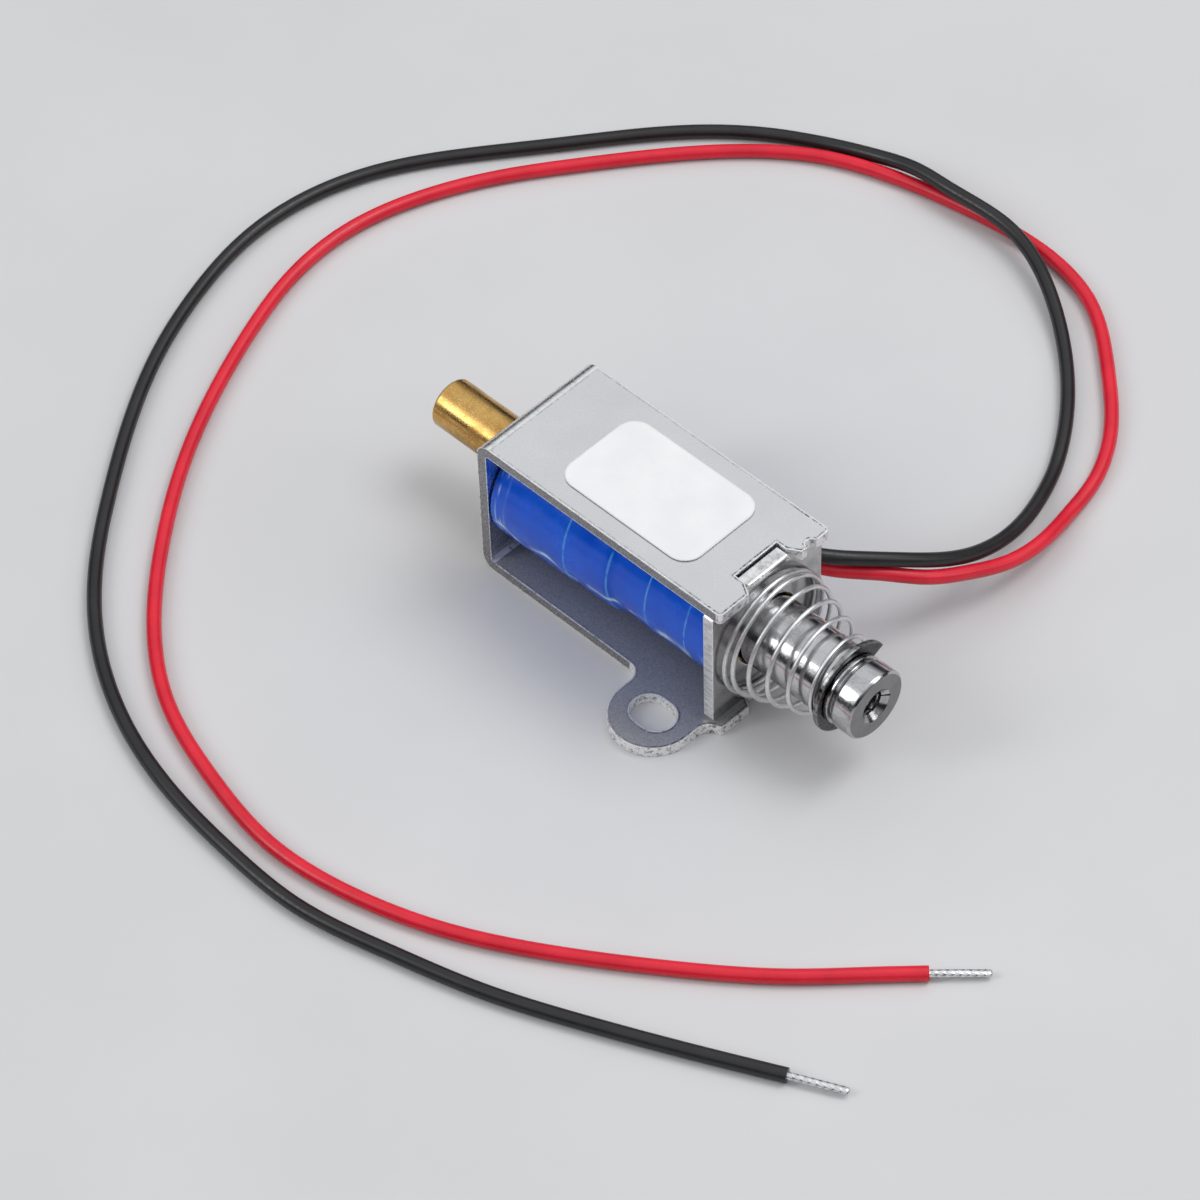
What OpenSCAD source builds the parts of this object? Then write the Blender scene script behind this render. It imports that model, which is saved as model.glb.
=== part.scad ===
// Push pull solenoid: open frame, slide-through plunger with a conical return spring,
// brass push rod, two mounting ears and two free leads. Millimetres.
// X runs along the plunger towards the spring, Z is up, the base rests on Z = 0.

/* [Frame] */
// Length of the frame along the plunger
frame_l = 30; // [28:0.5:36]
// Width of the frame
frame_w = 14; // [13.8:0.2:18]
// Height of the frame over both plates
frame_h = 16.4; // [16.2:0.2:18]
// Thickness of the frame strap
strap_t = 1.2; // [1:0.1:1.3]
// Thickness of the front plate
front_t = 1.2; // [1:0.1:1.6]
// Distance from the strap's front edges back to the front plate's outer face
front_setback = 0.95; // [0.6:0.05:1.4]
// Outer radius of the two strap bends
bend_r = 1.5; // [1:0.1:1.8]
// Inner radius of the two strap bends
bend_inner_r = 0.3; // [0.2:0.1:0.5]
// Size of the chamfer on the front plate's four corners
front_corner = 0.4; // [0.2:0.1:0.8]
// Radius of the strap's four front corners, seen from above
strap_corner = 0.5; // [0.2:0.1:0.7]

/* [Staked tabs] */
// Width of the front plate's staked tabs
tab_w = 5; // [4:0.2:6]
// Depth of a tab's end below the strap's outer face
tab_sink = 0.3; // [0.2:0.05:0.5]
// Height of the spread head at a tab's end
stake_h = 0.45; // [0.3:0.05:0.6]
// How far the spread head stands out behind and in front of the plate
stake_out = 0.15; // [0.1:0.01:0.18]
// Gap between a tab and its notch
tab_gap = 0.1; // [0.05:0.05:0.2]
// Widening of the notch at the strap's edge, each side
notch_flare = 0.75; // [0.4:0.05:1]
// Length of the widened part of the notch
notch_flare_l = 1.25; // [1:0.05:1.4]
// Radius of the crimp nick beside the upper notch
nick_r = 0.55; // [0.3:0.05:0.7]
// Distance of the crimp nick from the centre line
nick_y = 4.6; // [4.4:0.1:5.2]

/* [Mounting ears] */
// Distance of each ear's slot from the nearer end of the frame
ear_inset = 5.7; // [5.6:0.1:8]
// Distance from the centre line to an ear's rounded end
ear_reach = 13.9; // [13.4:0.1:17]
// Width of an ear
ear_w = 8.3; // [7:0.1:8.6]
// Fillet between an ear and the base
ear_fillet = 1.4; // [0.6:0.1:1.5]
// Width of the screw slot
slot_w = 3.6; // [2.6:0.1:4]
// Length of the screw slot, end to end
slot_l = 4.5; // [4.2:0.1:5.5]

/* [Plunger] */
// Plunger diameter
plunger_d = 7; // [6.4:0.1:7.2]
// How far the plunger stands out of the front plate at rest
plunger_out = 12.95; // [12.9:0.1:18]
// Stroke of the plunger
stroke = 6; // [3:0.5:6]
// Gap left to the damping washer at full stroke
end_gap = 0.05; // [0.03:0.01:0.1]
// Chamfer at the plunger's outer end
plunger_chamfer = 0.25; // [0.1:0.05:0.5]
// Length of the plunger's head outside its cone
head_l = 2.02; // [1.5:0.1:3]
// Length of the cone behind the head
cone_l = 0.43; // [0.2:0.05:0.8]
// Step from the head down to the small end of the cone
cone_step = 0.3; // [0.1:0.05:0.5]
// Width of the turned line behind the cone
line_w = 0.2; // [0.1:0.05:0.4]
// Depth of the turned line
line_depth = 0.5; // [0.2:0.1:0.8]
// Width of the land between the turned line and the clip groove
land_w = 0.4; // [0.3:0.05:0.8]
// Width of the clip groove
groove_w = 0.65; // [0.55:0.05:0.8]
// Depth of the clip groove
groove_depth = 0.9; // [0.6:0.05:1]
// Tapping bore of the end hole, M3
tap_d = 2.5; // [2:0.1:3.3]
// Depth of the tapped hole
tap_depth = 7; // [4:0.5:9]
// Diameter of the countersink on the tapped hole
sink_d = 3.6; // [3.4:0.1:4.4]

/* [Push rod] */
// Push rod diameter
rod_d = 5; // [4:0.1:5.2]
// How far the rod stands out of the back of the frame at rest
rod_out = 10.85; // [6:0.5:16]
// Edge break at the rod's free end
rod_break = 0.2; // [0.1:0.05:0.4]
// Diameter of the spigot pressed into the plunger
spigot_d = 3; // [2:0.1:3.4]
// Length of the spigot pressed into the plunger
spigot_l = 6; // [4:0.5:8]

/* [Retaining clip] */
// Thickness of the retaining clip
clip_t = 0.45; // [0.35:0.05:0.5]
// Outer radius of the clip's curve
clip_r = 4.6; // [4.4:0.1:5]
// Shift of the clip's curve towards its mouth
clip_shift = 0.4; // [0.2:0.05:0.6]
// Direction in which the clip's mouth opens, from +Y towards +Z
clip_turn = -37; // [-180:1:180]
// Half angle of the clip's mouth
clip_mouth = 62; // [50:1:66]
// Radius of the relief between the clip's three lugs
clip_relief_r = 3.3; // [3.1:0.05:3.6]
// Width of the clip's lugs
clip_lug_w = 1.6; // [1:0.1:2]
// Angle from each side of the mouth to the middle of its lug
clip_lug_turn = 14; // [12:1:20]

/* [Return spring] */
// Wire diameter of the return spring
wire_d = 0.44; // [0.3:0.02:0.46]
// Mean radius of the large end
spring_big_r = 6.2; // [5.6:0.05:6.3]
// Gap between the small end and the plunger
spring_gap = 0.08; // [0.06:0.01:0.2]
// Number of turns
spring_turns = 6; // [4:0.5:7]
// Turns at the large end that lie nearly closed
spring_closed = 1.25; // [0.5:0.25:2]
// Pitch of the closed turns
spring_pitch = 0.48; // [0.46:0.02:0.7]
// How the pitch opens after the closed turns, 1 is an even pitch
spring_opening = 1.35; // [1:0.05:2]
// Angle at which the wire starts, from +Y towards +Z
spring_start = 234; // [0:1:359]

/* [Coil] */
// Gap between the coil and the frame's plates
coil_gap = 0.12; // [0.1:0.02:0.3]
// Drop of the coil's radius up to its step, as a share of the winding's depth
coil_taper_share = 0.13; // [0:0.01:0.18]
// Drop of the coil's radius at its step, as a share of the winding's depth
coil_step_share = 0.24; // [0.1:0.02:0.3]
// Place of the coil's step along the frame
coil_step_x = 0.2; // [-2:0.1:0.5]
// Length over which the coil steps down
coil_step_l = 1; // [0.4:0.1:1]
// Width of the tape that shows on each turn
tape_w = 4.8; // [4:0.2:5.4]
// Thickness of the outer tape
outer_tape_t = 0.2; // [0.15:0.01:0.25]
// Thickness of the inner tape
inner_tape_t = 0.1; // [0.06:0.01:0.15]
// Rise at each lap of the outer tape
tape_lap = 0.06; // [0.02:0.01:0.1]
// Thickness of the bobbin's end flanges
flange_t = 0.45; // [0.4:0.05:0.7]
// Wall thickness of the bobbin's tube
bobbin_wall = 0.55; // [0.4:0.05:0.7]
// Wall thickness of the brass guide sleeve
guide_wall = 0.34; // [0.25:0.01:0.4]
// Running clearance of the plunger in the guide sleeve, each side
plunger_fit = 0.06; // [0.03:0.01:0.1]
// Clearance of the plunger in the front plate, each side
front_fit = 0.2; // [0.15:0.05:0.3]
// Clearance between the guide sleeve and the bobbin, each side
guide_fit = 0.02; // [0.01:0.01:0.05]

/* [Fixed core] */
// Length of the fixed core inside the frame
core_l = 7.8; // [6:0.2:9]
// Running clearance of the push rod in the fixed core, each side
rod_fit = 0.05; // [0.03:0.01:0.1]
// Wall of the core's riveted end in the back plate
rivet_wall = 0.6; // [0.4:0.05:0.6]
// Thickness of the damping washer
washer_t = 0.5; // [0.3:0.05:0.8]
// Gap between the damping washer and the parts beside it
washer_gap = 0.1; // [0.05:0.01:0.15]

/* [Label] */
// Length of the label
label_l = 16; // [10:0.5:20]
// Width of the label
label_w = 10; // [6:0.5:12]
// Corner radius of the label
label_r = 2; // [0.5:0.1:2.5]
// Thickness of the label
label_t = 0.1; // [0.06:0.01:0.2]
// Place of the label's middle along the frame
label_x = 1; // [-2:0.5:2]

/* [Leads] */
// Outer diameter of the leads
lead_d = 1.4; // [1.2:0.05:1.6]
// Diameter of the bare tinned ends
tip_d = 0.7; // [0.5:0.05:0.9]
// Length of the bare tinned ends
tip_l = 5.4; // [3:0.2:8]
// Place along the frame where the leads leave the coil
lead_exit = 9.5; // [9.5:0.1:10]
// Place of the red lead's exit, as an angle round the coil
red_angle = 7; // [4:1:8]
// Place of the black lead's exit, as an angle round the coil
black_angle = 24; // [24:1:30]
// How far each lead runs forward before it bends away
lead_run = 1; // [0.8:0.1:1.5]
// How far each lead has moved aside by then
lead_aside = 0.25; // [0.15:0.05:0.4]
// Length of the insulating sleeves under the tape
sleeve_l = 8; // [5:0.5:8]
// Wall of the insulating sleeves
sleeve_wall = 0.2; // [0.15:0.05:0.25]

/* [Hidden] */
eps = 0.01;
over = 1;

// Frame stations
x_front = frame_l / 2;
x_back = -x_front;
x_back_in = x_back + strap_t;
x_plate_out = x_front - front_setback;
x_plate_in = x_plate_out - front_t;
half_w = frame_w / 2;
axis_z = frame_h / 2;
z_top_in = frame_h - strap_t;

// Staked tabs and their notches
tab_top = frame_h - tab_sink;
notch_half = tab_w / 2 + tab_gap;
notch_back = x_plate_in - stake_out - 5 * eps;
notch_turn = x_front - notch_flare_l;

// Ears
ear_r = ear_w / 2;
ear_x = x_front - ear_inset;
ear_y = ear_reach - ear_r;

// Plunger and rod stations
plunger_r = plunger_d / 2;
plunger_end = x_plate_out + plunger_out;
rod_r = rod_d / 2;
rod_end = x_back - rod_out;
spigot_r = spigot_d / 2;
core_face = x_back_in + core_l;
washer_face = core_face + washer_t;
plunger_back = washer_face + stroke + end_gap;
cone_back = plunger_end - head_l - cone_l;
line_back = cone_back - line_w;
groove_front = line_back - land_w;
groove_back = groove_front - groove_w;
groove_r = plunger_r - groove_depth;
clip_back = groove_back + (groove_w - clip_t) / 2;

// Coil radii and stations
guide_in_r = plunger_r + plunger_fit;
guide_out_r = guide_in_r + guide_wall;
bobbin_in_r = guide_out_r + guide_fit;
bobbin_out_r = bobbin_in_r + bobbin_wall;
coil_back_r = axis_z - strap_t - coil_gap;
tape_all = outer_tape_t + inner_tape_t;
winding_depth = coil_back_r - tape_all - bobbin_out_r;
coil_taper = coil_taper_share * winding_depth;
coil_front_r = coil_back_r - coil_taper - coil_step_share * winding_depth;
tape_back = x_back_in + coil_gap;
tape_front = x_plate_in - flange_t;
winding_back = x_back_in + flange_t;
lap_1 = coil_step_x - tape_w;
lap_2 = coil_step_x + tape_w;
lap_3 = lap_2 + tape_w;

// Return spring
spring_x0 = x_plate_out + wire_d / 2;
spring_len = clip_back - wire_d - x_plate_out;
spring_small_r = plunger_r + spring_gap + wire_d / 2;
spring_closed_l = spring_pitch * spring_closed;
spring_growth = (spring_len - spring_pitch * spring_turns)
    / pow(spring_turns - spring_closed, spring_opening);
rings_per_turn = 24;

// Leads: where they leave the coil, then their way across the table
lead_r = lead_d / 2;
sleeve_r = lead_r + sleeve_wall / 2;
sleeve_out = coil_front_r + tape_lap - outer_tape_t + sleeve_r + eps;
red_exit = [lead_exit, sleeve_out * cos(red_angle), axis_z + sleeve_out * sin(red_angle)];
black_exit = [lead_exit, sleeve_out * cos(black_angle), axis_z + sleeve_out * sin(black_angle)];
h = lead_r;
red_route = [
    red_exit, red_exit + [lead_run, lead_aside, 0], [13.2, 8.4, 8.6], [16.5, 12, 7.5], [19, 15.5, 6],
    [20.5, 19.5, 4.5], [21.5, 24, 3], [21.5, 29, 2], [20.5, 33.5, 1], [19.5, 38, h],
    [16.5, 44, h], [11, 50, h], [4, 55.5, h], [-4, 57.5, h], [-12, 57, h],
    [-20, 55.5, h], [-28, 52.5, h], [-34, 48, h], [-39.5, 42, h], [-44.5, 35.5, h],
    [-49, 29, h], [-52.5, 22, h], [-54.5, 14, h], [-54, 6, h], [-51.5, -2, h],
    [-48, -10, h], [-43.5, -18, h], [-38, -25.5, h], [-31, -33, h], [-23, -38.5, h],
    [-14, -41.5, h], [-5, -43, h], [4, -42, h], [13, -39, h], [22, -34, h],
    [30, -28.5, h], [37.5, -22.5, h], [43, -17, h], [46, -14, h]
];
black_route = [
    black_exit, black_exit + [lead_run, lead_aside, 0], [13.2, 8, 10.6], [15.5, 11, 9.5], [17.5, 14.5, 8],
    [19, 18.5, 6], [19.5, 23, 4], [19, 28, 2.5], [17.5, 33, 1.4], [15.5, 37.5, h],
    [12, 43, h], [6.5, 49, 0.8], [0.5, 53.5, 1.5], [-7, 56.5, 2.2], [-15, 56.5, 2.3],
    [-19, 56.5, 2.1], [-23, 56, 1.4], [-31, 53, h], [-38, 48, h], [-43.5, 42, h],
    [-48.5, 35.5, h], [-53.5, 29, h], [-58, 22, h], [-60.5, 15, h], [-61, 7, h],
    [-59, -2, h], [-56, -9.5, h], [-51, -18, h], [-45.5, -25.5, h], [-40, -32, h],
    [-33, -38, h], [-24.5, -42.5, h], [-15.5, -45, h], [-6.5, -46, h], [2, -46, h],
    [11, -44, h], [19.5, -41.5, h], [28, -38, h], [36.5, -34, h], [44.5, -30, h]
];

// Colours
c_zinc = [0.80, 0.81, 0.82];
c_steel = [0.70, 0.71, 0.73];
c_brass = [0.80, 0.63, 0.30];
c_copper = [0.72, 0.40, 0.22];
c_tape = [0.02, 0.27, 0.78];
c_nylon = [0.12, 0.12, 0.13];
c_rubber = [0.06, 0.06, 0.06];
c_dark = [0.20, 0.20, 0.21];
c_tin = [0.83, 0.84, 0.86];
c_red = [0.85, 0.10, 0.12];
c_black = [0.05, 0.05, 0.05];
c_white = [0.93, 0.93, 0.93];

// Unit vector along v
function unit(v) = v / norm(v);

// Direction of the path p at its point i, where it begins in the direction start
function heading(p, i, start) = i == 0 ? start : unit(p[min(i + 1, len(p) - 1)] - p[i - 1]);

// Ring of n points of radius r round the path p at its point i
function ring(p, i, r, n, up, start) =
    let (t = heading(p, i, start), side = unit(cross(up, t)), rise = cross(t, side))
    [for (k = [0 : n - 1])
        p[i] + r * (cos(360 * k / n) * rise + sin(360 * k / n) * side)];

// Radius of the coil's outside at station x, with the laps of its tape
function coil_r(x) =
    x < coil_step_x
    ? coil_back_r - coil_taper * (x - tape_back) / (coil_step_x - tape_back)
        - (x < lap_1 ? 0 : tape_lap)
    : coil_front_r + (x < lap_2 ? 0 : tape_lap / 2) + (x < lap_3 ? 0 : tape_lap / 2);

// Outline of the coil's outside from a to b, drawn inwards by the depth d
function coil_line(a, b, d) = [
    for (x = [a, lap_1 - eps, lap_1, coil_step_x - eps, coil_step_x + coil_step_l,
            lap_2 - eps, lap_2, lap_3 - eps, lap_3, b])
        [x, coil_r(x) - d]
];

// Reversed copy of a list
function flip(p) = [for (i = [len(p) - 1 : -1 : 0]) p[i]];

// Place of the spring's wire n turns from its large end
function spring_point(n) =
    let (along = spring_pitch * n + spring_growth * pow(max(n - spring_closed, 0), spring_opening),
        done = max(along - spring_closed_l, 0) / (spring_len - spring_closed_l),
        r = spring_big_r + (spring_small_r - spring_big_r) * done,
        a = spring_start + 360 * n)
    [spring_x0 + along, r * cos(a), axis_z + r * sin(a)];

// Round tube of radius r along the path p, with n sides; its first end faces along start
module sweep(p, r, n, up, start) {
    last = len(p) - 1;
    points = [for (i = [0 : last]) each ring(p, i, r, n, up, start)];
    sides = [for (i = [0 : last - 1], k = [0 : n - 1])
        let (a = i * n + k, b = i * n + (k + 1) % n)
        each [[a, a + n, b + n], [a, b + n, b]]];
    start_cap = [for (k = [0 : n - 1]) k];
    end_cap = [for (k = [n - 1 : -1 : 0]) last * n + k];
    polyhedron(points = points, faces = concat([start_cap], sides, [end_cap]));
}

// Turned part on the plunger's axis from an outline of [station, radius] points
module turned(outline) {
    translate([0, 0, axis_z])
        rotate([0, 90, 0])
            rotate_extrude($fn = 96)
                polygon([for (q = outline) [q[1], q[0]]]);
}

// Cylinder along X from a to b with radius r, centred on the height z and side place y
module bar(a, b, r, y = 0, z = axis_z, sides = 64) {
    translate([a, y, z])
        rotate([0, 90, 0])
            cylinder(h = b - a, r = r, $fn = sides);
}

// Shape in the XZ plane, drawn out to the width w about the centre line
module across(w) {
    rotate([90, 0, 0])
        linear_extrude(height = w, center = true)
            children();
}

// Outline of the ear beside the base, with its fillets
module ear_outline() {
    difference() {
        union() {
            translate([ear_x, -ear_y])
                circle(r = ear_r, $fn = 72);
            translate([ear_x - ear_r, -ear_y])
                square([ear_w, ear_y - half_w + eps]);
            translate([ear_x - ear_r - ear_fillet, -half_w - ear_fillet])
                square([ear_w + 2 * ear_fillet, ear_fillet + eps]);
        }
        for (side = [-1, 1])
            translate([ear_x + side * (ear_r + ear_fillet), -half_w - ear_fillet])
                circle(r = ear_fillet, $fn = 48);
    }
}

// Slot of an ear: two round ends and straight sides
module ear_slot() {
    reach = (slot_l - slot_w) / 2;
    for (side = [-1, 1])
        translate([ear_x + side * reach, -ear_y, -over])
            cylinder(h = strap_t + 2 * over, r = slot_w / 2, $fn = 64);
    translate([ear_x - reach, -ear_y - slot_w / 2, -over])
        cube([2 * reach, slot_w, strap_t + 2 * over]);
}

// What is cut away outside the strap's rounded front corners at +Y
module corner_waste() {
    translate([x_front - strap_corner, half_w - strap_corner, -over])
        linear_extrude(height = frame_h + 2 * over)
            difference() {
                square(strap_corner + over);
                circle(r = strap_corner, $fn = 32);
            }
}

// U-shaped strap with its ears, tab notches and core hole
module frame_strap() {
    color(c_zinc)
    difference() {
        union() {
            across(frame_w)
                difference() {
                    union() {
                        translate([x_back + bend_r, 0])
                            square([frame_l - bend_r, frame_h]);
                        translate([x_back, bend_r])
                            square([frame_l, frame_h - 2 * bend_r]);
                        for (z = [bend_r, frame_h - bend_r])
                            translate([x_back + bend_r, z])
                                circle(r = bend_r, $fn = 48);
                    }
                    translate([x_back_in + bend_inner_r, strap_t])
                        square([frame_l, z_top_in - strap_t]);
                    translate([x_back_in, strap_t + bend_inner_r])
                        square([frame_l, z_top_in - strap_t - 2 * bend_inner_r]);
                    for (z = [strap_t + bend_inner_r, z_top_in - bend_inner_r])
                        translate([x_back_in + bend_inner_r, z])
                            circle(r = bend_inner_r, $fn = 32);
                }
            for (turn = [0, 180])
                rotate([0, 0, turn])
                    linear_extrude(height = strap_t)
                        ear_outline();
        }
        for (turn = [0, 180])
            rotate([0, 0, turn])
                ear_slot();
        translate([0, 0, -over])
            linear_extrude(height = frame_h + 2 * over)
                polygon([
                    [notch_back, -notch_half], [notch_back, notch_half],
                    [notch_turn, notch_half], [x_front + eps, notch_half + notch_flare],
                    [x_front + eps, -notch_half - notch_flare], [notch_turn, -notch_half]
                ]);
        translate([x_front, nick_y, z_top_in - over])
            cylinder(h = strap_t + 2 * over, r = nick_r, $fn = 32);
        corner_waste();
        mirror([0, 1, 0])
            corner_waste();
        bar(x_back - over, x_back_in + over, rod_r + rod_fit + rivet_wall);
    }
}

// Side view of a staked tab that points up and ends at the height z
module tab_outline(z) {
    cut = stake_out - eps;
    polygon([
        [x_plate_in, z_top_in - front_corner], [x_plate_in, z - stake_h],
        [x_plate_in - stake_out, z - stake_h + cut], [x_plate_in - stake_out, z - cut],
        [x_plate_in - stake_out + cut, z], [x_plate_out + stake_out - cut, z],
        [x_plate_out + stake_out, z - cut], [x_plate_out + stake_out, z - stake_h + cut],
        [x_plate_out, z - stake_h], [x_plate_out, z_top_in - front_corner]
    ]);
}

// Front plate with the plunger's hole and its two staked tabs
module front_plate() {
    color(c_zinc)
    difference() {
        union() {
            translate([x_plate_in, 0, 0])
                rotate([90, 0, 90])
                    linear_extrude(height = front_t)
                        polygon([
                            [-half_w, strap_t + front_corner], [-half_w + front_corner, strap_t],
                            [half_w - front_corner, strap_t], [half_w, strap_t + front_corner],
                            [half_w, z_top_in - front_corner], [half_w - front_corner, z_top_in],
                            [-half_w + front_corner, z_top_in], [-half_w, z_top_in - front_corner]
                        ]);
            across(tab_w)
                tab_outline(tab_top);
            translate([0, 0, frame_h])
                mirror([0, 0, 1])
                    across(tab_w)
                        tab_outline(tab_top);
        }
        bar(x_plate_in - over, x_plate_out + over, plunger_r + front_fit, sides = 96);
    }
}

// Fixed steel core, bored for the push rod and riveted in the back plate
module fixed_core() {
    bore = rod_r + rod_fit;
    color(c_steel)
    turned([
        [x_back, bore], [x_back, bore + rivet_wall], [x_back_in, bore + rivet_wall],
        [x_back_in, plunger_r], [core_face, plunger_r], [core_face, bore]
    ]);
}

// Soft washer that damps the end of the stroke
module damping_washer() {
    color(c_rubber)
    turned([
        [core_face, rod_r + washer_gap], [core_face, plunger_r - washer_gap],
        [washer_face, plunger_r - washer_gap], [washer_face, rod_r + washer_gap]
    ]);
}

// Brass sleeve that guides the plunger inside the bobbin
module guide_sleeve() {
    color(c_brass)
    turned([
        [x_back_in + eps, guide_in_r], [x_back_in + eps, guide_out_r],
        [x_plate_in - eps, guide_out_r], [x_plate_in - eps, guide_in_r]
    ]);
}

// Nylon bobbin with a flange at each end
module bobbin() {
    color(c_nylon)
    turned([
        [x_back_in, bobbin_in_r], [x_back_in, coil_back_r - tape_all],
        [winding_back, coil_back_r - tape_all], [winding_back, bobbin_out_r],
        [tape_front, bobbin_out_r], [tape_front, coil_front_r],
        [x_plate_in, coil_front_r], [x_plate_in, bobbin_in_r]
    ]);
}

// Copper winding on the bobbin
module coil_winding() {
    color(c_copper)
    turned(concat(
        [[winding_back, bobbin_out_r]],
        coil_line(winding_back, tape_front, tape_all),
        [[tape_front, bobbin_out_r]]
    ));
}

// Clear tape that holds the winding under the leads' joints
module inner_tape() {
    color(c_white)
    turned(concat(
        coil_line(winding_back, tape_front, outer_tape_t),
        flip(coil_line(winding_back, tape_front, tape_all))
    ));
}

// Blue tape round the coil, raised over the two insulating sleeves
module outer_tape() {
    color(c_tape)
    difference() {
        union() {
            turned(concat(
                [[tape_back, bobbin_out_r]],
                coil_line(tape_back, tape_front, 0),
                [[tape_front, bobbin_out_r]]
            ));
            for (exit = [red_exit, black_exit])
                bar(lead_exit - sleeve_l, lead_exit, sleeve_r + outer_tape_t, exit[1], exit[2]);
        }
        turned(concat(
            [[x_back_in - over, 0], [x_back_in - over, coil_back_r - tape_all],
                [winding_back, coil_back_r - tape_all]],
            coil_line(winding_back, tape_front, outer_tape_t),
            [[x_plate_in + over, coil_r(tape_front) - outer_tape_t], [x_plate_in + over, 0]]
        ));
        for (exit = [red_exit, black_exit])
            bar(lead_exit - sleeve_l, lead_exit + over, sleeve_r, exit[1], exit[2]);
    }
}

// Insulating sleeve over a lead's joint
module insulating_sleeve(exit) {
    difference() {
        bar(lead_exit - sleeve_l, lead_exit, sleeve_r, exit[1], exit[2]);
        bar(lead_exit - sleeve_l - over, lead_exit + over, sleeve_r - sleeve_wall,
            exit[1], exit[2]);
    }
}

// Soldered joint between the winding and a lead, inside its sleeve
module solder_joint(exit) {
    bar(lead_exit - sleeve_l, lead_exit - eps, sleeve_r - sleeve_wall, exit[1], exit[2]);
}

// Bare tinned end of a lead, in line with the end of its route
module lead_tip(route) {
    last = route[len(route) - 1];
    way = last - route[len(route) - 2];
    translate(last)
        rotate([0, 90, atan2(way[1], way[0])])
            cylinder(h = tip_l, r = tip_d / 2, $fn = 24);
}

module red_joint() {
    color(c_tin)
    solder_joint(red_exit);
}

module black_joint() {
    color(c_tin)
    solder_joint(black_exit);
}

module red_sleeve() {
    color(c_white)
    insulating_sleeve(red_exit);
}

module black_sleeve() {
    color(c_white)
    insulating_sleeve(black_exit);
}

module red_lead() {
    color(c_red)
    sweep(red_route, lead_r, 8, [0, 0, 1], [1, 0, 0]);
}

module black_lead() {
    color(c_black)
    sweep(black_route, lead_r, 8, [0, 0, 1], [1, 0, 0]);
}

module red_lead_tip() {
    color(c_tin)
    lead_tip(red_route);
}

module black_lead_tip() {
    color(c_tin)
    lead_tip(black_route);
}

// Bare label with round corners on the top plate
module label() {
    color(c_white)
    translate([label_x, 0, frame_h])
        linear_extrude(height = label_t)
            union() {
                square([label_l, label_w - 2 * label_r], center = true);
                square([label_l - 2 * label_r, label_w], center = true);
                for (i = [-1, 1], j = [-1, 1])
                    translate([i * (label_l / 2 - label_r), j * (label_w / 2 - label_r)])
                        circle(r = label_r, $fn = 48);
            }
}

// Steel plunger with its clip groove, head and tapped end
module plunger() {
    bottom = plunger_end - tap_depth;
    mouth = plunger_end - (sink_d - tap_d) / 2;
    color(c_steel)
    difference() {
        turned([
            [plunger_back, 0], [plunger_back, plunger_r], [groove_back, plunger_r],
            [groove_back, groove_r], [groove_front, groove_r], [groove_front, plunger_r],
            [line_back, plunger_r], [line_back, plunger_r - line_depth],
            [cone_back, plunger_r - line_depth], [cone_back, plunger_r - cone_step],
            [plunger_end - head_l, plunger_r], [plunger_end - plunger_chamfer, plunger_r],
            [plunger_end, plunger_r - plunger_chamfer], [plunger_end, 0]
        ]);
        bar(bottom, plunger_end + over, tap_d / 2);
        turned([
            [mouth, 0], [mouth, tap_d / 2], [plunger_end, sink_d / 2],
            [plunger_end + over, sink_d / 2], [plunger_end + over, 0]
        ]);
        bar(plunger_back - over, plunger_back + spigot_l, spigot_r);
    }
}

// Brass push rod with the spigot that is pressed into the plunger
module push_rod() {
    color(c_brass)
    turned([
        [rod_end, 0], [rod_end, rod_r - rod_break], [rod_end + rod_break, rod_r],
        [plunger_back, rod_r], [plunger_back, spigot_r],
        [plunger_back + spigot_l, spigot_r], [plunger_back + spigot_l, 0]
    ]);
}

// Open retaining clip with three lugs in the plunger's groove
module retaining_clip() {
    far = 3 * clip_r;
    lug_turn = clip_mouth + clip_lug_turn;
    color(c_dark)
    translate([clip_back, 0, axis_z])
        rotate([90, 0, 90])
            linear_extrude(height = clip_t)
                rotate([0, 0, clip_turn])
                    difference() {
                        translate([clip_shift, 0])
                            circle(r = clip_r, $fn = 96);
                        difference() {
                            circle(r = clip_relief_r, $fn = 72);
                            for (turn = [lug_turn, 180, -lug_turn])
                                rotate([0, 0, turn])
                                    translate([0, -clip_lug_w / 2])
                                        square([far, clip_lug_w]);
                        }
                        circle(r = groove_r, $fn = 72);
                        polygon([
                            [0, 0],
                            [far * cos(clip_mouth), -far * sin(clip_mouth)], [far, -far],
                            [far, far], [far * cos(clip_mouth), far * sin(clip_mouth)]
                        ]);
                    }
}

// Conical return spring from the front plate to the clip
module return_spring() {
    count = round(spring_turns * rings_per_turn);
    path = [for (i = [0 : count]) spring_point(i * spring_turns / count)];
    color(c_steel)
    sweep(path, wire_d / 2, 8, [1, 0, 0], unit(path[1] - path[0]));
}

frame_strap();
front_plate();
fixed_core();
damping_washer();
guide_sleeve();
bobbin();
coil_winding();
inner_tape();
outer_tape();
label();
red_joint();
black_joint();
red_sleeve();
black_sleeve();
red_lead();
black_lead();
red_lead_tip();
black_lead_tip();
plunger();
push_rod();
retaining_clip();
return_spring();
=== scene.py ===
"""Studio scene of a push pull solenoid, dressed over its CAD parts.

All lengths are metres in the CAD parts' own frame: X runs along the plunger towards the
spring, Z is up and the base rests on Z = 0.
"""

import logging
import math
from dataclasses import dataclass, field
from enum import Enum
from typing import Callable, Iterable, Sequence, Union

import bmesh
import bpy
from mathutils import Matrix, Vector, noise


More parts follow.
